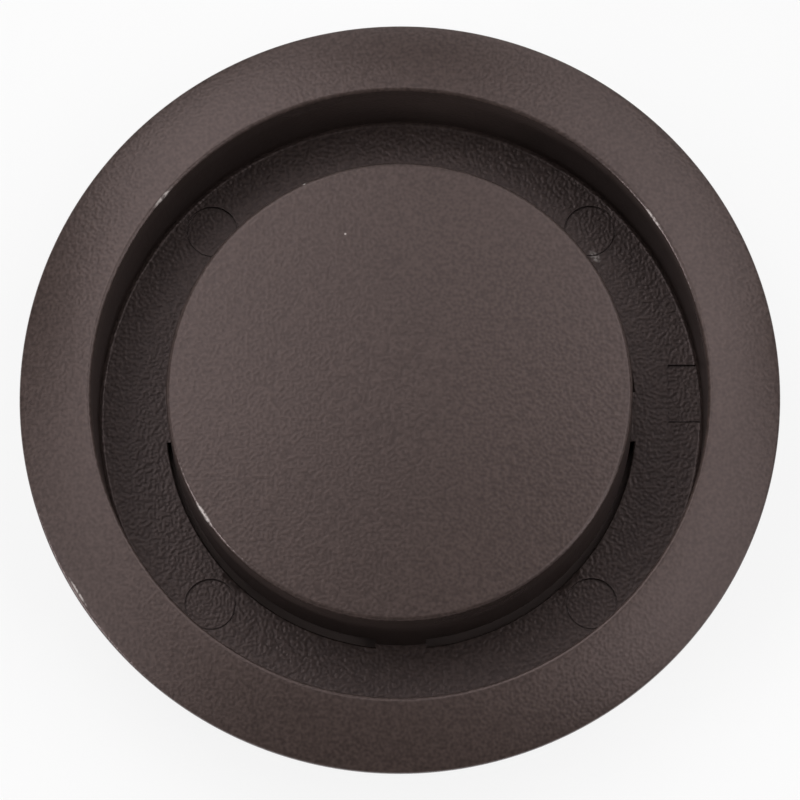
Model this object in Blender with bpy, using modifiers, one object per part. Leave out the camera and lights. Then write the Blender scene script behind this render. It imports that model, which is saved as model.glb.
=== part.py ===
# Round air vent: one dark brown plastic moulding that is pushed into a round hole in a panel.
# A crowned flange covers the edge of the hole. A domed disc with a deep skirt stands over the opening on
# four short legs, and the air passes up inside the skirt, out under its lower edge between the legs and
# up through the ring-shaped channel around it.
# Z runs up along the axis and is zero at the barrel's lower end. Sizes are in millimetres.

import math

import bmesh
import bpy
from mathutils import Matrix, Vector

MM = 0.001

# flange
FLANGE_RADIUS = 30.0
FLANGE_EDGE = 0.5
FLANGE_EDGE_FILLET = 0.25
SEAT_WIDTH = 1.4
RELIEF_DEPTH = 0.8
RELIEF_FILLET = 0.3
CROWN_RISE = 0.2
LIP_RISE = 2.45
LIP_FILLET = 0.3

# channel and barrel
LIP_RADIUS = 24.3
CHANNEL_DEPTH = 10.65
CHANNEL_DRAFT = 1.0
CHANNEL_ROOT_FILLET = 0.4
FLOOR_THICKNESS = 1.2
FOOT_HEIGHT = 0.6
BARREL_WALL = 1.0
BARREL_DRAFT = 0.5
LEAD_IN = 0.4
LEAD_IN_HEIGHT = 1.0

# disc, skirt and legs
DISC_RADIUS = 18.35
DISC_STEP = 0.5
DISC_DOME = 1.0
DISC_THICKNESS = 1.5
DISC_EDGE_FILLET = 0.4
DISC_ROOT_FILLET = 0.5
SKIRT_DEPTH = 9.0
SKIRT_DRAFT = 0.5
SKIRT_THICKNESS = 1.3
CORE_DRAFT = 1.0
LEG_WIDTH = 4.0
LEG_PAIRS = 2
HOLE_CLEARANCE = 0.27
HOLE_EDGE_BREAK = 0.2

# marks that the mould leaves
GATE_RADIUS = 0.8
GATE_HEIGHT = 0.3
PIN_MARKS = 4
PIN_MARK_RADIUS = 2.0
INSERT_MARK_WIDTH = 4.5
INSERT_MARK_LENGTH = 2.6
INSERT_MARK_OFFSET = 1.8
MARK_DEPTH = 0.15

# crush ribs on the barrel
RIB_COUNT = 8
RIB_RADIUS = 0.4
RIB_PROUD = 0.25
RIB_END = 1.5

# mesh fineness
TURNS = 72
ARC_STEP = 24.0
CROWN_STEPS = 5
DOME_STEPS = 4
MARK_SIDES = 24
RIB_SIDES = 10
CUT_MARGIN = 1.0
WELD = 0.01

# heights above the barrel's lower end
FLOOR_UNDERSIDE = FOOT_HEIGHT
FLOOR_TOP = FLOOR_UNDERSIDE + FLOOR_THICKNESS
LIP_TOP = FLOOR_TOP + CHANNEL_DEPTH
SEAT = LIP_TOP - LIP_RISE
DISC_EDGE_TOP = LIP_TOP + DISC_STEP
DISC_UNDERSIDE = DISC_EDGE_TOP - DISC_THICKNESS
WINDOW_TOP = DISC_EDGE_TOP - SKIRT_DEPTH

PLASTIC_COLOUR = (0.092, 0.070, 0.066, 1.0)
PLASTIC_ROUGHNESS = 0.45


def tan_degrees(angle):
    return math.tan(math.radians(angle))


def skirt_radius(height):
    """Outer face of the skirt and legs, which widens down from the disc's edge."""
    return DISC_RADIUS + (DISC_EDGE_TOP - height) * tan_degrees(SKIRT_DRAFT)


def hole_radius():
    """Hole in the channel's floor, a little wider than the skirt, so that the mould opens straight."""
    return skirt_radius(WINDOW_TOP) + HOLE_CLEARANCE


def core_radius(height):
    """Inner face of the skirt and legs, which widens down from the disc's underside."""
    return DISC_RADIUS - SKIRT_THICKNESS + (DISC_UNDERSIDE - height) * tan_degrees(CORE_DRAFT)


def channel_radius(height):
    """Wall of the channel, which narrows down from the lip."""
    return LIP_RADIUS - (LIP_TOP - height) * tan_degrees(CHANNEL_DRAFT)


def barrel_radius(height):
    """Outside of the barrel, which narrows down from the flange's seat."""
    return LIP_RADIUS + BARREL_WALL - (SEAT - height) * tan_degrees(BARREL_DRAFT)


def corner(radius, height, fillet=0.0):
    """A corner of a turned profile, and the radius that rounds it."""
    return (Vector((radius, height)), fillet)


def arch(start, end, rise, steps):
    """Corners of a shallow arc between start and end, both left out, that bulges up by rise."""
    start, end = Vector(start), Vector(end)
    half_chord = (end - start).length / 2
    radius = (half_chord ** 2 + rise ** 2) / (2 * rise)
    across = (end - start).normalized()
    up = Vector((-across.y, across.x))
    centre = (start + end) / 2 + up * (rise - radius)
    half_angle = math.asin(half_chord / radius)
    corners = []
    for step in range(1, steps):
        angle = half_angle * (2 * step / steps - 1)
        corners.append(corner(*(centre + radius * (across * math.sin(angle) + up * math.cos(angle)))))
    return corners


def rounding(before, point, after, radius):
    """Points of the arc that rounds the corner at point between its two neighbours."""
    back, ahead = (before - point).normalized(), (after - point).normalized()
    opening = back.angle(ahead)
    reach = radius / math.tan(opening / 2)
    centre = point + (back + ahead).normalized() * radius / math.sin(opening / 2)
    first, last = point + back * reach - centre, point + ahead * reach - centre
    turn = first.angle_signed(last)
    steps = max(2, round(math.degrees(abs(turn)) / ARC_STEP))
    return [centre + first @ Matrix.Rotation(turn * step / steps, 2) for step in range(steps + 1)]


def outline(corners):
    """Points of the profile through the corners, with the fillets rounded."""
    points = []
    for index, (point, fillet) in enumerate(corners):
        if fillet > 0:
            points += rounding(corners[index - 1][0], point, corners[index + 1][0], fillet)
        else:
            points.append(point)
    return points


def moulding_profile():
    """Half section through a leg, from the disc's middle over the top and back along the underside."""
    disc_edge = (DISC_RADIUS, DISC_EDGE_TOP)
    far_disc_edge = (-DISC_RADIUS, DISC_EDGE_TOP)
    lip = (LIP_RADIUS, LIP_TOP)
    flange_edge = (FLANGE_RADIUS, SEAT + FLANGE_EDGE)
    foot_radius = barrel_radius(0.0)
    hollow_edge = (core_radius(DISC_UNDERSIDE), DISC_UNDERSIDE)
    far_hollow_edge = (-core_radius(DISC_UNDERSIDE), DISC_UNDERSIDE)
    dome = arch(far_disc_edge, disc_edge, DISC_DOME, 2 * DOME_STEPS)
    hollow = arch(far_hollow_edge, hollow_edge, DISC_DOME, 2 * DOME_STEPS)
    gate_top = DISC_UNDERSIDE + DISC_DOME
    return outline([
        corner(0.0, DISC_EDGE_TOP + DISC_DOME),
        *dome[DOME_STEPS:],
        corner(*disc_edge, DISC_EDGE_FILLET),
        corner(skirt_radius(FLOOR_TOP), FLOOR_TOP),
        corner(channel_radius(FLOOR_TOP), FLOOR_TOP, CHANNEL_ROOT_FILLET),
        corner(*lip, LIP_FILLET),
        *arch(lip, flange_edge, CROWN_RISE, CROWN_STEPS),
        corner(*flange_edge, FLANGE_EDGE_FILLET),
        corner(FLANGE_RADIUS, SEAT),
        corner(FLANGE_RADIUS - SEAT_WIDTH, SEAT),
        corner(barrel_radius(SEAT + RELIEF_DEPTH), SEAT + RELIEF_DEPTH, RELIEF_FILLET),
        corner(barrel_radius(LEAD_IN_HEIGHT), LEAD_IN_HEIGHT),
        corner(foot_radius - LEAD_IN, 0.0),
        corner(foot_radius - BARREL_WALL, 0.0),
        corner(foot_radius - BARREL_WALL, FLOOR_UNDERSIDE),
        corner(core_radius(FLOOR_UNDERSIDE), FLOOR_UNDERSIDE),
        corner(*hollow_edge, DISC_ROOT_FILLET),
        *reversed(hollow[DOME_STEPS:]),
        corner(GATE_RADIUS, gate_top),
        corner(GATE_RADIUS, gate_top - GATE_HEIGHT),
        corner(0.0, gate_top - GATE_HEIGHT),
    ])


def window_profile():
    """Section of the ring cut out between the legs: through the floor up to its top, and above it into
    the channel. The corner between the two breaks the edge of the hole in the floor."""
    inside = core_radius(DISC_UNDERSIDE) - CUT_MARGIN
    hole = hole_radius()
    above_floor = HOLE_EDGE_BREAK / 2
    outside = hole + HOLE_EDGE_BREAK + above_floor
    return [
        (outside, WINDOW_TOP),
        (outside, FLOOR_TOP + above_floor),
        (hole, FLOOR_TOP - HOLE_EDGE_BREAK),
        (hole, -CUT_MARGIN),
        (inside, -CUT_MARGIN),
        (inside, WINDOW_TOP),
    ]


def add_mesh(name, mesh, collection):
    item = bpy.data.objects.new(name, mesh)
    collection.objects.link(item)
    return item


def turned(name, profile, closed, collection):
    """Solid or ring turned from a profile in the XZ plane with a Screw modifier."""
    mesh = bpy.data.meshes.new(name)
    vertices = [(x * MM, 0.0, z * MM) for x, z in profile]
    edges = [(index, index + 1) for index in range(len(vertices) - 1)]
    if closed:
        edges.append((len(vertices) - 1, 0))
    mesh.from_pydata(vertices, edges, [])
    item = add_mesh(name, mesh, collection)
    screw = item.modifiers.new("turn", "SCREW")
    screw.steps = TURNS
    screw.render_steps = TURNS
    screw.use_merge_vertices = True
    screw.merge_threshold = WELD * MM
    return item


def block(name, size, centre, turn, collection):
    """Box of the given size, moved to centre and then turned about Z by turn degrees."""
    model = bmesh.new()
    place = Matrix.Rotation(math.radians(turn), 4, "Z") @ Matrix.Translation(Vector(centre) * MM)
    bmesh.ops.create_cube(model, size=1.0, matrix=place @ Matrix.Diagonal((*[side * MM for side in size], 1.0)))
    mesh = bpy.data.meshes.new(name)
    model.to_mesh(mesh)
    model.free()
    return add_mesh(name, mesh, collection)


def upright_cone(name, foot_radius, top_radius, foot, height, sides, collection):
    """Closed cone or cylinder that stands on the point foot."""
    model = bmesh.new()
    middle = Vector(foot) + Vector((0.0, 0.0, height / 2))
    bmesh.ops.create_cone(
        model,
        cap_ends=True,
        segments=sides,
        radius1=foot_radius * MM,
        radius2=top_radius * MM,
        depth=height * MM,
        matrix=Matrix.Translation(middle * MM),
    )
    mesh = bpy.data.meshes.new(name)
    model.to_mesh(mesh)
    model.free()
    return add_mesh(name, mesh, collection)


def on_circle(radius, angle, height):
    return (radius * math.cos(math.radians(angle)), radius * math.sin(math.radians(angle)), height)


def combine(item, other, operation):
    """Adds an exact Boolean of item with other, which stays as a hidden guide."""
    boolean = item.modifiers.new(other.name, "BOOLEAN")
    boolean.operation = operation
    boolean.solver = "EXACT"
    boolean.object = other
    other.hide_render = True
    other.display_type = "WIRE"


def make_window_cutter(guides):
    """Ring between the legs, parted by a bar for each pair of opposite legs."""
    cutter = turned("window_cutter", window_profile(), True, guides)
    length = 2 * (hole_radius() + 2 * CUT_MARGIN)
    height = WINDOW_TOP + 4 * CUT_MARGIN
    for pair in range(LEG_PAIRS):
        turn = 180.0 * pair / LEG_PAIRS
        middle = (0.0, 0.0, WINDOW_TOP / 2)
        bar = block(f"leg_bar_{pair + 1}", (length, LEG_WIDTH, height), middle, turn, guides)
        combine(cutter, bar, "DIFFERENCE")
    return cutter


def make_mark_cutters(guides):
    """Shallow round marks of the ejector pins, and the mark of a small insert beside the wall."""
    cutters = []
    wall, hole = channel_radius(FLOOR_TOP), hole_radius()
    height = 2 * MARK_DEPTH
    for index in range(PIN_MARKS):
        foot = on_circle((wall + hole) / 2, 360.0 * (index + 0.5) / PIN_MARKS, FLOOR_TOP - MARK_DEPTH)
        name = f"pin_mark_cutter_{index + 1}"
        cutters.append(upright_cone(name, PIN_MARK_RADIUS, PIN_MARK_RADIUS, foot, height, MARK_SIDES, guides))
    outer_end = wall - CHANNEL_ROOT_FILLET / 2
    size = (2 * INSERT_MARK_LENGTH, INSERT_MARK_WIDTH, height)
    insert = block("insert_mark_cutter", size, (outer_end, INSERT_MARK_OFFSET, FLOOR_TOP), 0.0, guides)
    foot = (0.0, 0.0, FLOOR_TOP - height)
    within = upright_cone("insert_mark_limit", outer_end, outer_end, foot, 2 * height, TURNS, guides)
    combine(insert, within, "INTERSECT")
    return [*cutters, insert]


def make_ribs(guides):
    """Crush ribs that hold the barrel in the hole. Each thins out towards its lower end, and its upper
    end is buried in the flange."""
    ribs = []
    foot_height = LEAD_IN_HEIGHT + RIB_END
    top_height = (SEAT + RELIEF_DEPTH + LIP_TOP) / 2
    axis_radius = barrel_radius(foot_height) + RIB_PROUD - RIB_RADIUS
    foot_radius = RIB_RADIUS - RIB_PROUD
    for index in range(RIB_COUNT):
        name = f"crush_rib_{index + 1}"
        foot = on_circle(axis_radius, 360.0 * (index + 0.5) / RIB_COUNT, foot_height)
        height = top_height - foot_height
        ribs.append(upright_cone(name, foot_radius, RIB_RADIUS, foot, height, RIB_SIDES, guides))
    return ribs


def plastic():
    material = bpy.data.materials.new("brown_plastic")
    material.use_nodes = True
    shader = material.node_tree.nodes["Principled BSDF"]
    shader.inputs["Base Color"].default_value = PLASTIC_COLOUR
    shader.inputs["Roughness"].default_value = PLASTIC_ROUGHNESS
    shader.inputs["Metallic"].default_value = 0.0
    material.diffuse_color = PLASTIC_COLOUR
    return material


def settle(item):
    """Replaces the modifiers by their result, with doubled points welded and smooth except at real edges."""
    bpy.context.view_layer.update()
    evaluated = item.evaluated_get(bpy.context.evaluated_depsgraph_get())
    item.data = bpy.data.meshes.new_from_object(evaluated)
    item.modifiers.clear()
    model = bmesh.new()
    model.from_mesh(item.data)
    bmesh.ops.remove_doubles(model, verts=model.verts, dist=WELD * MM)
    model.to_mesh(item.data)
    model.free()
    item.data.shade_smooth()
    item.data.set_sharp_from_angle(angle=math.radians(30))


for old in list(bpy.data.objects):
    bpy.data.objects.remove(old)

vent = bpy.data.collections.new("round_air_vent")
guides = bpy.data.collections.new("cutters")
bpy.context.scene.collection.children.link(vent)
bpy.context.scene.collection.children.link(guides)

vent_body = turned("vent_body", moulding_profile(), False, vent)
combine(vent_body, make_window_cutter(guides), "DIFFERENCE")
for cutter in make_mark_cutters(guides):
    combine(vent_body, cutter, "DIFFERENCE")
for rib in make_ribs(guides):
    combine(vent_body, rib, "UNION")
settle(vent_body)
vent_body.data.materials.clear()
vent_body.data.materials.append(plastic())
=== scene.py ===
# Round air vent seen from above, a little from the front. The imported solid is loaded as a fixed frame, and a
# finer mesh of the same moulding takes its place. Sizes are in millimetres, except where a comment says
# metres, and heights start at the barrel's lower end.
import math

import bmesh
import bpy
from mathutils import Matrix, Vector


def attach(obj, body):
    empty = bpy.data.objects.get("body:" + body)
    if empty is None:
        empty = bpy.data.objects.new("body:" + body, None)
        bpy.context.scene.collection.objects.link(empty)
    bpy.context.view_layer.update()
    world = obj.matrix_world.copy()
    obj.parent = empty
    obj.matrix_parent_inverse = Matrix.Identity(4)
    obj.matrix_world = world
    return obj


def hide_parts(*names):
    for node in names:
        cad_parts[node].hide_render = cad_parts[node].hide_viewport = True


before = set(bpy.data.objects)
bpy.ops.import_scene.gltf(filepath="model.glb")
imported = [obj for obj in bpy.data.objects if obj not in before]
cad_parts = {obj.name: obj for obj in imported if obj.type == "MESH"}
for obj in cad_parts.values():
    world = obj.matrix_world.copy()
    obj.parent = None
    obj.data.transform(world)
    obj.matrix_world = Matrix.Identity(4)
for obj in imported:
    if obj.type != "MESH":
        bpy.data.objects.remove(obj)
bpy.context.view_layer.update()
MM = 0.001


# The turned form: flange, channel, barrel and disc. The whole vent is one shot of plastic from a mould whose
# halves meet along the flange's edge. A deep skirt hangs from the disc's edge to near the channel's floor.
FLANGE_RADIUS = 30.0
FLANGE_EDGE = 0.5
FLANGE_EDGE_FILLET = 0.25
PARTING_EDGE_FILLET = 0.05
SEAT_WIDTH = 1.4
RELIEF_DEPTH = 0.8
RELIEF_FILLET = 0.3
CROWN_RISE = 0.2
LIP_RISE = 2.45
LIP_FILLET = 0.3
LIP_RADIUS = 24.3
CHANNEL_DEPTH = 10.65
CHANNEL_DRAFT = 1.0
CHANNEL_ROOT_FILLET = 0.4
FLOOR_THICKNESS = 1.2
FOOT_HEIGHT = 0.6
BARREL_WALL = 1.0
BARREL_DRAFT = 0.5
LEAD_IN = 0.4
LEAD_IN_HEIGHT = 1.0
DISC_RADIUS = 18.35
DISC_STEP = 0.5
DISC_DOME = 1.0
DISC_THICKNESS = 1.5
DISC_EDGE_FILLET = 0.4
DISC_ROOT_FILLET = 0.5
SKIRT_DRAFT = 0.5
SKIRT_THICKNESS = 1.3
CORE_DRAFT = 1.0
GATE_RADIUS = 0.8
GATE_HEIGHT = 0.3
TURNS = 264
ARC_STEP = 9.0
CROWN_STEPS = 10
DOME_STEPS = 12
WELD = 0.002

FLOOR_TOP = FOOT_HEIGHT + FLOOR_THICKNESS
LIP_TOP = FLOOR_TOP + CHANNEL_DEPTH
SEAT = LIP_TOP - LIP_RISE
DISC_EDGE_TOP = LIP_TOP + DISC_STEP
DISC_UNDERSIDE = DISC_EDGE_TOP - DISC_THICKNESS


def drafted(radius, drop, draft):
    """Radius of a face that widens by its draft, in degrees, over the drop."""
    return radius + drop * math.tan(math.radians(draft))


def skirt_outside(height):
    return drafted(DISC_RADIUS, DISC_EDGE_TOP - height, SKIRT_DRAFT)


def skirt_inside(height):
    return drafted(DISC_RADIUS - SKIRT_THICKNESS, DISC_UNDERSIDE - height, CORE_DRAFT)


def channel_wall(height):
    return drafted(LIP_RADIUS, height - LIP_TOP, CHANNEL_DRAFT)


def barrel_outside(height):
    return drafted(LIP_RADIUS + BARREL_WALL, height - SEAT, BARREL_DRAFT)


def corner(radius, height, fillet=0.0):
    """A corner of a turned profile, and the radius that rounds it."""
    return (Vector((radius, height)), fillet)


def arch(start, end, rise, steps):
    """Corners of a shallow arc between start and end, both left out, that bulges up by rise."""
    start, end = Vector(start), Vector(end)
    half_chord = (end - start).length / 2
    radius = (half_chord ** 2 + rise ** 2) / (2 * rise)
    across = (end - start).normalized()
    up = Vector((-across.y, across.x))
    centre = (start + end) / 2 + up * (rise - radius)
    half_angle = math.asin(half_chord / radius)
    corners = []
    for step in range(1, steps):
        angle = half_angle * (2 * step / steps - 1)
        corners.append(corner(*(centre + radius * (across * math.sin(angle) + up * math.cos(angle)))))
    return corners


def rounding(before, point, after, radius):
    """Points of the arc that rounds the corner at point between its two neighbours."""
    back, ahead = (before - point).normalized(), (after - point).normalized()
    opening = back.angle(ahead)
    reach = radius / math.tan(opening / 2)
    centre = point + (back + ahead).normalized() * radius / math.sin(opening / 2)
    first, last = point + back * reach - centre, point + ahead * reach - centre
    turn = first.angle_signed(last)
    steps = max(3, round(math.degrees(abs(turn)) / ARC_STEP))
    return [centre + first @ Matrix.Rotation(turn * step / steps, 2) for step in range(steps + 1)]


def outline(corners):
    """Points of the profile through the corners, with the fillets rounded."""
    points = []
    for index, (point, fillet) in enumerate(corners):
        if fillet > 0:
            points += rounding(corners[index - 1][0], point, corners[index + 1][0], fillet)
        else:
            points.append(point)
    return points


def add_mesh(name, mesh):
    """New object with the mesh, in the scene."""
    item = bpy.data.objects.new(name, mesh)
    bpy.context.scene.collection.objects.link(item)
    return item


def turned(name, points, closed):
    """Solid or ring turned from a half section with a Screw modifier."""
    edges = [(index, index + 1) for index in range(len(points) - 1)]
    if closed:
        edges.append((len(points) - 1, 0))
    mesh = bpy.data.meshes.new(name)
    mesh.from_pydata([(x * MM, 0.0, z * MM) for x, z in points], edges, [])
    item = add_mesh(name, mesh)
    screw = item.modifiers.new("turn", "SCREW")
    screw.steps = TURNS
    screw.render_steps = TURNS
    screw.use_merge_vertices = True
    screw.merge_threshold = WELD * MM
    return item


lip = (LIP_RADIUS, LIP_TOP)
disc_edge = (DISC_RADIUS, DISC_EDGE_TOP)
far_disc_edge = (-DISC_RADIUS, DISC_EDGE_TOP)
flange_edge = (FLANGE_RADIUS, SEAT + FLANGE_EDGE)
foot_radius = barrel_outside(0.0)
hollow_edge = (skirt_inside(DISC_UNDERSIDE), DISC_UNDERSIDE)
far_hollow_edge = (-skirt_inside(DISC_UNDERSIDE), DISC_UNDERSIDE)
dome = arch(far_disc_edge, disc_edge, DISC_DOME, 2 * DOME_STEPS)
hollow = arch(far_hollow_edge, hollow_edge, DISC_DOME, 2 * DOME_STEPS)
gate_top = DISC_UNDERSIDE + DISC_DOME
moulding = turned("vent_moulding", outline([
    corner(0.0, DISC_EDGE_TOP + DISC_DOME),
    *dome[DOME_STEPS:],
    corner(*disc_edge, DISC_EDGE_FILLET),
    corner(skirt_outside(FLOOR_TOP), FLOOR_TOP),
    corner(channel_wall(FLOOR_TOP), FLOOR_TOP, CHANNEL_ROOT_FILLET),
    corner(*lip, LIP_FILLET),
    *arch(lip, flange_edge, CROWN_RISE, CROWN_STEPS),
    corner(*flange_edge, FLANGE_EDGE_FILLET),
    corner(FLANGE_RADIUS, SEAT, PARTING_EDGE_FILLET),
    corner(FLANGE_RADIUS - SEAT_WIDTH, SEAT),
    corner(barrel_outside(SEAT + RELIEF_DEPTH), SEAT + RELIEF_DEPTH, RELIEF_FILLET),
    corner(barrel_outside(LEAD_IN_HEIGHT), LEAD_IN_HEIGHT),
    corner(foot_radius - LEAD_IN, 0.0),
    corner(foot_radius - BARREL_WALL, 0.0),
    corner(foot_radius - BARREL_WALL, FOOT_HEIGHT),
    corner(skirt_inside(FOOT_HEIGHT), FOOT_HEIGHT),
    corner(*hollow_edge, DISC_ROOT_FILLET),
    *reversed(hollow[DOME_STEPS:]),
    corner(GATE_RADIUS, gate_top),
    corner(GATE_RADIUS, gate_top - GATE_HEIGHT),
    corner(0.0, gate_top - GATE_HEIGHT),
]), closed=False)


# The windows that let the air out under the skirt, between four short legs. The hole in the channel's floor
# is a little wider than the skirt, so that the mould can open straight, and its edge is broken.
SKIRT_DEPTH = 9.0
LEG_WIDTH = 4.0
LEG_PAIRS = 2
HOLE_CLEARANCE = 0.27
HOLE_EDGE_BREAK = 0.2
EDGE_BREAK_RISE = 0.01
CUT_MARGIN = 1.0


def shaped(name, model):
    """New object from a bmesh, which is freed."""
    mesh = bpy.data.meshes.new(name)
    model.to_mesh(mesh)
    model.free()
    return add_mesh(name, mesh)


def combine(item, other, operation):
    """Adds an exact Boolean of item with other."""
    boolean = item.modifiers.new(other.name, "BOOLEAN")
    boolean.operation = operation
    boolean.solver = "EXACT"
    boolean.object = other


def placed(turn, centre, size=(1.0, 1.0, 1.0)):
    """Matrix that gives a shape its size, moves it to a centre and then turns it about Z by degrees."""
    turning = Matrix.Rotation(math.radians(turn), 4, "Z")
    moving = Matrix.Translation(Vector(centre) * MM)
    scaling = Matrix.Diagonal((*[side * MM for side in size], 1.0))
    return turning @ moving @ scaling


WINDOW_TOP = DISC_EDGE_TOP - SKIRT_DEPTH
hole = skirt_outside(WINDOW_TOP) + HOLE_CLEARANCE
inside = skirt_inside(DISC_UNDERSIDE) - CUT_MARGIN
windows = turned("window_cutter", outline([
    corner(hole + CUT_MARGIN, WINDOW_TOP),
    corner(hole + CUT_MARGIN, FLOOR_TOP + EDGE_BREAK_RISE),
    corner(hole, FLOOR_TOP + EDGE_BREAK_RISE, HOLE_EDGE_BREAK),
    corner(hole, -CUT_MARGIN),
    corner(inside, -CUT_MARGIN),
    corner(inside, WINDOW_TOP),
]), closed=True)
leg_bars = bmesh.new()
bar_size = (2 * hole + 4 * CUT_MARGIN, LEG_WIDTH, WINDOW_TOP + 4 * CUT_MARGIN)
for pair in range(LEG_PAIRS):
    turn = 180.0 * pair / LEG_PAIRS
    bmesh.ops.create_cube(leg_bars, size=1.0, matrix=placed(turn, (0.0, 0.0, WINDOW_TOP / 2), bar_size))
legs = shaped("leg_bars", leg_bars)
combine(windows, legs, "DIFFERENCE")
combine(moulding, windows, "DIFFERENCE")


# Marks that the mould leaves on the channel's floor: the shallow rounds of the four ejector pins, and the end
# of a small insert beside the wall on the right. A witness line runs round each pin and along both straight
# sides of the insert, and on one of them the mould is worn.
PIN_MARKS = 4
PIN_MARK_RADIUS = 2.0
INSERT_MARK_WIDTH = 4.5
INSERT_MARK_LENGTH = 2.6
INSERT_MARK_OFFSET = 1.8
MARK_DEPTH = 0.15
MARK_SIDES = 96
WITNESS_WIDTH = 0.16
WITNESS_DEPTH = 0.3
WORN_WIDTH = 0.34


def pin_rounds(name, radius, depth):
    """Upright rounds, one at each ejector pin, that reach to a depth below the floor's face."""
    model = bmesh.new()
    middle = (channel_wall(FLOOR_TOP) + hole) / 2
    for index in range(PIN_MARKS):
        turn = 360.0 * (index + 0.5) / PIN_MARKS
        bmesh.ops.create_cone(
            model,
            cap_ends=True,
            segments=MARK_SIDES,
            radius1=radius,
            radius2=radius,
            depth=2 * depth,
            matrix=placed(turn, (middle, 0.0, FLOOR_TOP)),
        )
    return shaped(name, model)


pins = pin_rounds("pin_mark_cutter", PIN_MARK_RADIUS, MARK_DEPTH)
pin_lines = pin_rounds("pin_line_cutter", PIN_MARK_RADIUS + WITNESS_WIDTH / 2, WITNESS_DEPTH)
pin_cores = pin_rounds("pin_core", PIN_MARK_RADIUS - WITNESS_WIDTH / 2, 2 * WITNESS_DEPTH)
combine(pin_lines, pin_cores, "DIFFERENCE")
for cutter in (pins, pin_lines):
    combine(moulding, cutter, "DIFFERENCE")

mark_end = channel_wall(FLOOR_TOP) - CHANNEL_ROOT_FILLET / 2
mark_limit = bmesh.new()
bmesh.ops.create_cone(
    mark_limit,
    cap_ends=True,
    segments=TURNS,
    radius1=mark_end,
    radius2=mark_end,
    depth=4 * WITNESS_DEPTH,
    matrix=placed(0.0, (0.0, 0.0, FLOOR_TOP)),
)
limit = shaped("mark_limit", mark_limit)
insert_mark = bmesh.new()
insert_place = (mark_end, INSERT_MARK_OFFSET, FLOOR_TOP)
insert_size = (2 * INSERT_MARK_LENGTH, INSERT_MARK_WIDTH, 2 * MARK_DEPTH)
bmesh.ops.create_cube(insert_mark, size=1.0, matrix=placed(0.0, insert_place, insert_size))
insert = shaped("insert_mark_cutter", insert_mark)
witness_lines = bmesh.new()
for side, width in ((-1, WITNESS_WIDTH), (1, WORN_WIDTH)):
    line_place = (mark_end, INSERT_MARK_OFFSET + side * INSERT_MARK_WIDTH / 2, FLOOR_TOP)
    line_size = (2 * INSERT_MARK_LENGTH, width, 2 * WITNESS_DEPTH)
    bmesh.ops.create_cube(witness_lines, size=1.0, matrix=placed(0.0, line_place, line_size))
witness = shaped("witness_line_cutter", witness_lines)
for cutter in (insert, witness):
    combine(cutter, limit, "INTERSECT")
    combine(moulding, cutter, "DIFFERENCE")


# Crush ribs that hold the barrel in its hole. Each is moulded on, thins out towards its lower end, and runs
# up into the flange.
RIB_COUNT = 8
RIB_RADIUS = 0.4
RIB_PROUD = 0.25
RIB_END = 1.5
RIB_SIDES = 24

barrel_ribs = bmesh.new()
rib_foot = LEAD_IN_HEIGHT + RIB_END
rib_top = (SEAT + RELIEF_DEPTH + LIP_TOP) / 2
rib_axis = barrel_outside(rib_foot) + RIB_PROUD - RIB_RADIUS
for index in range(RIB_COUNT):
    turn = 360.0 * (index + 0.5) / RIB_COUNT
    bmesh.ops.create_cone(
        barrel_ribs,
        cap_ends=True,
        segments=RIB_SIDES,
        radius1=RIB_RADIUS - RIB_PROUD,
        radius2=RIB_RADIUS,
        depth=rib_top - rib_foot,
        matrix=placed(turn, (rib_axis, 0.0, (rib_foot + rib_top) / 2)),
    )
ribs = shaped("crush_ribs", barrel_ribs)
combine(moulding, ribs, "UNION")


# The finished shape: the cuts are made, the cutters go, and doubled points are welded. It shades smooth
# across its fillets and sharp at its real corners, and it stands for the plain solid.
SHARP_ANGLE = 28.0

bpy.context.view_layer.update()
cut = moulding.evaluated_get(bpy.context.evaluated_depsgraph_get())
moulding.data = bpy.data.meshes.new_from_object(cut)
moulding.modifiers.clear()
for cutter in (windows, legs, pins, pin_lines, pin_cores, limit, insert, witness, ribs):
    bpy.data.objects.remove(cutter)
welded = bmesh.new()
welded.from_mesh(moulding.data)
bmesh.ops.remove_doubles(welded, verts=welded.verts, dist=WELD * MM)
welded.to_mesh(moulding.data)
welded.free()
moulding.data.shade_smooth()
moulding.data.set_sharp_from_angle(angle=math.radians(SHARP_ANGLE))
moulding.modifiers.new("even_shading", "WEIGHTED_NORMAL").keep_sharp = True
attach(moulding, "root")
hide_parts("vent_body")


# The plastic: brown coloured through, with the fine grain of a spark-eroded mould on every face. It is rubbed
# smoother on the lip and on the edges of the disc and the flange. Pale glints on the lip, the disc's edge and
# the flange's edge are painted highlights; a fleck by a pin mark and small specks are pale marks on the
# plastic itself. Each is given by its angle in degrees, its radius and height, its length round the axis and
# its width.
BROWN_LIGHT = (0.0635, 0.0452, 0.0407, 1.0)
BROWN_DARK = (0.0357, 0.0254, 0.0229, 1.0)
SHEEN_TINT = (1.0, 0.8, 0.79, 1.0)
ROUGHNESS = 0.32
RUBBED_ROUGHNESS = 0.24
RUBBED_WIDTH = 0.5
SPECULAR = 0.5
GRAIN_SIZE = 0.27
GRAIN_DETAIL = 0.0
GRAIN_HEIGHT = 0.02
GRAIN_CONTRAST = 1.8
FLOW_SIZE = 12.0
FLOW_DETAIL = 3.0
FLOW_CONTRAST = 0.5
FLOOR_GRAIN = 1.7
FLOOR_GRAIN_TOP = 0.6
PALE_NICK_AND_GLINT = (0.45, 0.41, 0.39, 1.0)
PALE_MARK_RISE = 0.8
PALE_MARK_CORE = 0.5
PALE_MARK_GRAIN_LOW = 0.4
PALE_MARK_GRAIN_HIGH = 0.55
PALE_MARK_GRAIN_SHARE = 0.2
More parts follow.
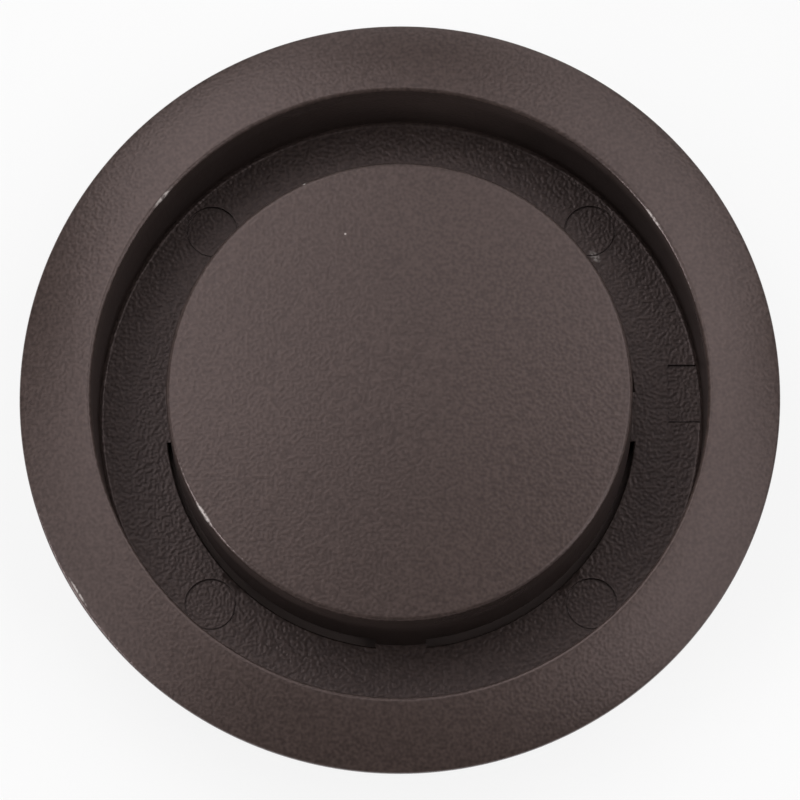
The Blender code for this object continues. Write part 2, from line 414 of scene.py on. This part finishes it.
# The first four are painted highlights, glints where the rounded lip, disc edge and flange edge catch the low
# lamps; the pin mark's fleck and the three specks are pale marks on the plastic itself.
NICKS_AND_GLINTS = {
    "lip_right": (34.6, LIP_RADIUS + 0.1, LIP_TOP, 2.8, 0.3),
    "lip_left": (140.0, LIP_RADIUS + 0.1, LIP_TOP, 2.5, 0.35),
    "disc_edge": (212.7, DISC_RADIUS - 0.12, DISC_EDGE_TOP, 2.6, 0.45),
    "flange_edge": (211.7, FLANGE_RADIUS - 0.3, SEAT + FLANGE_EDGE, 3.2, 0.22),
    "pin_mark": (40.2, 20.3, FLOOR_TOP, 1.4, 0.7),
    "disc_speck": (108.8, 13.2, DISC_EDGE_TOP + DISC_DOME / 2, 0.2, 0.2),
    "edge_speck": (114.3, DISC_RADIUS - 0.1, DISC_EDGE_TOP, 0.3, 0.15),
    "flange_speck": (256.2, 29.2, SEAT + FLANGE_EDGE, 0.25, 0.2),
}


def add_node(tree, kind, inputs=None, **settings):
    """New shader node. Its inputs are given by name or number, as a value or as a socket to join."""
    made = tree.nodes.new("ShaderNode" + kind)
    for name, value in settings.items():
        setattr(made, name, value)
    for name, value in (inputs or {}).items():
        if isinstance(value, bpy.types.NodeSocket):
            tree.links.new(value, made.inputs[name])
        else:
            made.inputs[name].default_value = value
    return made


def calculate(tree, operation, first, second=0.0):
    """Socket with the result of one sum."""
    return add_node(tree, "Math", {0: first, 1: second}, operation=operation).outputs[0]


def ramped(tree, value, low, high, to_low, to_high):
    """Value taken from the range low to high into another range, and held at its ends."""
    inputs = {"Value": value, "From Min": low, "From Max": high, "To Min": to_low, "To Max": to_high}
    return add_node(tree, "MapRange", inputs).outputs["Result"]


def cloud(tree, place, size, detail):
    """Noise from 0 to 1 whose blotches are about size across."""
    inputs = {"Vector": place, "Scale": 1.0 / (size * MM), "Detail": detail}
    return add_node(tree, "TexNoise", inputs).outputs[0]


def pale_mark(tree, place, angle, radius, height, length, width):
    """Mask of one pale mark (nicks and specks, and painted highlights on edges), which fades out towards its
    ends.
    """
    turn = math.radians(angle)
    middle = Vector((radius * math.cos(turn), radius * math.sin(turn), height)) * MM
    inputs = {
        "Vector": place,
        "Location": middle,
        "Rotation": (0.0, 0.0, turn),
        "Scale": (width / 2 * MM, length / 2 * MM, PALE_MARK_RISE / 2 * MM),
    }
    local = add_node(tree, "Mapping", inputs, vector_type="TEXTURE").outputs[0]
    away = add_node(tree, "VectorMath", {0: local}, operation="LENGTH").outputs["Value"]
    return ramped(tree, away, PALE_MARK_CORE, 1.0, 1.0, 0.0)


plastic = bpy.data.materials.new("grained_brown_plastic")
plastic.use_nodes = True
tree = plastic.node_tree
shader = tree.nodes["Principled BSDF"]
place = add_node(tree, "TexCoord").outputs["Object"]
parts = add_node(tree, "SeparateXYZ", {0: place}).outputs
across = calculate(tree, "POWER", parts["X"], 2.0)
along = calculate(tree, "POWER", parts["Y"], 2.0)
radius = calculate(tree, "SQRT", calculate(tree, "ADD", across, along))

grain = cloud(tree, place, GRAIN_SIZE, GRAIN_DETAIL)
flow = cloud(tree, place, FLOW_SIZE, FLOW_DETAIL)
on_floor = ramped(tree, parts["Z"], FLOOR_TOP * MM, (FLOOR_TOP + FLOOR_GRAIN_TOP) * MM, FLOOR_GRAIN, 1.0)
grain_tone = calculate(tree, "MULTIPLY", calculate(tree, "SUBTRACT", grain, 0.5), GRAIN_CONTRAST)
grain_tone = calculate(tree, "MULTIPLY", grain_tone, on_floor)
flow_tone = calculate(tree, "MULTIPLY", calculate(tree, "SUBTRACT", flow, 0.5), FLOW_CONTRAST)
tone = calculate(tree, "ADD", calculate(tree, "ADD", grain_tone, flow_tone), 0.5)
brown = add_node(tree, "Mix", {0: tone, 6: BROWN_DARK, 7: BROWN_LIGHT}, data_type="RGBA").outputs[2]

# Painted highlights on the edges, and the pale nicks and specks, mixed into the colour.
nicks_and_glints = 0.0
for place_and_size in NICKS_AND_GLINTS.values():
    nicks_and_glints = calculate(tree, "MAXIMUM", nicks_and_glints, pale_mark(tree, place, *place_and_size))
speckle = ramped(tree, grain, PALE_MARK_GRAIN_LOW, PALE_MARK_GRAIN_HIGH, PALE_MARK_GRAIN_SHARE, 1.0)
nicks_and_glints = calculate(tree, "MULTIPLY", nicks_and_glints, speckle)
colour = add_node(tree, "Mix", {0: nicks_and_glints, 6: brown, 7: PALE_NICK_AND_GLINT}, data_type="RGBA").outputs[2]

rubbed = 0.0
for edge_radius in (DISC_RADIUS, LIP_RADIUS, FLANGE_RADIUS):
    away = calculate(tree, "ABSOLUTE", calculate(tree, "SUBTRACT", radius, edge_radius * MM))
    near = ramped(tree, away, 0.0, RUBBED_WIDTH * MM, 1.0, 0.0)
    rubbed = calculate(tree, "MAXIMUM", rubbed, near)
above = ramped(tree, parts["Z"], (SEAT - RUBBED_WIDTH) * MM, SEAT * MM, 0.0, 1.0)
rubbed = calculate(tree, "MULTIPLY", calculate(tree, "MULTIPLY", rubbed, above), flow)

tree.links.new(colour, shader.inputs["Base Color"])
tree.links.new(ramped(tree, rubbed, 0.0, 1.0, ROUGHNESS, RUBBED_ROUGHNESS), shader.inputs["Roughness"])
shader.inputs["Specular IOR Level"].default_value = SPECULAR
shader.inputs["Specular Tint"].default_value = SHEEN_TINT
height = calculate(tree, "MULTIPLY", grain, on_floor)
relief = add_node(tree, "Bump", {"Distance": GRAIN_HEIGHT * MM, "Height": height})
tree.links.new(relief.outputs["Normal"], shader.inputs["Normal"])
moulding.data.materials.clear()
moulding.data.materials.append(plastic)


# The stage: a pale floor that sweeps up all round, well away from the vent, and a dark disc on it under the
# barrel, painted shade that keeps the lit floor from showing through the windows under the disc. To the camera
# and in reflections the floor is nearly white, and it keeps the vent's shadow.
STAGE_RADIUS = 2200.0
STAGE_CURVE = 150.0
STAGE_EDGE = 200.0
STAGE_PALE = (0.85, 0.85, 0.85, 1.0)
STAGE_ROUGHNESS = 0.9
WHITE = (1.0, 1.0, 1.0, 1.0)
WHITE_SHARE = 0.85
SHADE_DISC_RADIUS = 23.8
SHADE_DISC_LIFT = 0.2
SHADE_DISC_SIDES = 96
SHADE_DISC_DARK = (0.15, 0.117, 0.11, 1.0)

floor = turned("floor", outline([
    corner(0.0, 0.0),
    corner(STAGE_RADIUS, 0.0, STAGE_CURVE),
    corner(STAGE_RADIUS, STAGE_EDGE),
]), closed=False)
paint = bpy.data.materials.new("pale_floor")
paint.use_nodes = True
tree = paint.node_tree
painted = tree.nodes["Principled BSDF"]
painted.inputs["Base Color"].default_value = STAGE_PALE
painted.inputs["Roughness"].default_value = STAGE_ROUGHNESS
ray = add_node(tree, "LightPath").outputs
seen = calculate(tree, "MAXIMUM", ray["Is Camera Ray"], ray["Is Glossy Ray"])
seen = calculate(tree, "MAXIMUM", seen, ray["Is Transmission Ray"])
white = add_node(tree, "Emission", {"Color": WHITE, "Strength": 1.0})
share = calculate(tree, "MULTIPLY", seen, WHITE_SHARE)
mixed = add_node(tree, "MixShader", {0: share, 1: painted.outputs[0], 2: white.outputs[0]})
tree.links.new(mixed.outputs[0], tree.nodes["Material Output"].inputs["Surface"])
floor.data.materials.append(paint)

# The dark disc is painted shade: it lies under the barrel so that the space under the disc shows dark.
shade_disc_mesh = bmesh.new()
bmesh.ops.create_circle(
    shade_disc_mesh,
    cap_ends=True,
    segments=SHADE_DISC_SIDES,
    radius=SHADE_DISC_RADIUS * MM,
    matrix=Matrix.Translation((0.0, 0.0, SHADE_DISC_LIFT * MM)),
)
opening = shaped("painted_shade_disc", shade_disc_mesh)
dark = bpy.data.materials.new("painted_shade_disc")
dark.use_nodes = True
unlit = dark.node_tree.nodes["Principled BSDF"]
unlit.inputs["Base Color"].default_value = SHADE_DISC_DARK
unlit.inputs["Specular IOR Level"].default_value = 0.0
opening.data.materials.append(dark)


# Soft panels about the vent: most of the light comes from the back and from overhead, some from both sides,
# and next to none from the front. Each has its azimuth, 0 at the right and 90 at the back, its elevation, its
# width and height and its watts. Their sizes and their distance are in metres.
PANEL_DISTANCE = 1.0
PANELS = (
    ("top", 150, 79, 0.3, 0.3, 0.23),
    ("over_back_left", 126, 66, 0.45, 0.35, 0.77),
    ("over_back_right", 54, 66, 0.4, 0.35, 0.53),
    ("over_left", 172, 65, 0.5, 0.35, 0.8),
    ("over_right", 0, 65, 0.8, 0.35, 1.39),
    ("back_left", 120, 44, 0.5, 0.55, 2.1),
    ("back_right", 50, 42, 0.7, 0.55, 2.18),
    ("left", 192, 48, 0.8, 0.4, 1.12),
    ("right", 345, 44, 0.8, 0.5, 2.06),
    ("low_left", 203, 18, 0.35, 0.2, 4.4),
    ("low_right", 337, 18, 0.35, 0.2, 1.13),
    ("low_back", 85, 20, 0.7, 0.2, 0.73),
)
for name, azimuth, elevation, width, height, watts in PANELS:
    light = bpy.data.lights.new(name, "AREA")
    light.shape = "RECTANGLE"
    light.size = width
    light.size_y = height
    light.energy = watts
    panel = bpy.data.objects.new(name, light)
    turn, rise = math.radians(azimuth), math.radians(elevation)
    away = Vector((math.cos(rise) * math.cos(turn), math.cos(rise) * math.sin(turn), math.sin(rise)))
    panel.location = away * PANEL_DISTANCE
    panel.rotation_euler = away.to_track_quat("Z", "Y").to_euler()
    panel.visible_camera = False
    bpy.context.scene.collection.objects.link(panel)

world = bpy.data.worlds.new("studio")
world.use_nodes = True
world.node_tree.nodes["Background"].inputs["Strength"].default_value = 0.0
bpy.context.scene.world = world


# The camera looks down on the vent from a little in front of it, and from a trace to the right. Angles are in
# degrees and distances in metres.
TILT = 10.9
LEAN = 0.65
CAMERA_DISTANCE = 0.7
FRAME_WIDTH = 0.0631
SENSOR_WIDTH = 36.0
AIM = (0.00002, -0.00023, 0.01025)

camera = bpy.data.objects.new("camera", bpy.data.cameras.new("camera"))
camera.data.sensor_width = SENSOR_WIDTH
camera.data.lens = SENSOR_WIDTH * CAMERA_DISTANCE / FRAME_WIDTH
camera.rotation_euler = (math.radians(TILT), math.radians(LEAN), 0.0)
camera.location = Vector(AIM) + camera.rotation_euler.to_matrix() @ Vector((0.0, 0.0, CAMERA_DISTANCE))
bpy.context.scene.collection.objects.link(camera)
bpy.context.scene.camera = camera
bpy.context.scene.view_settings.view_transform = "Standard"
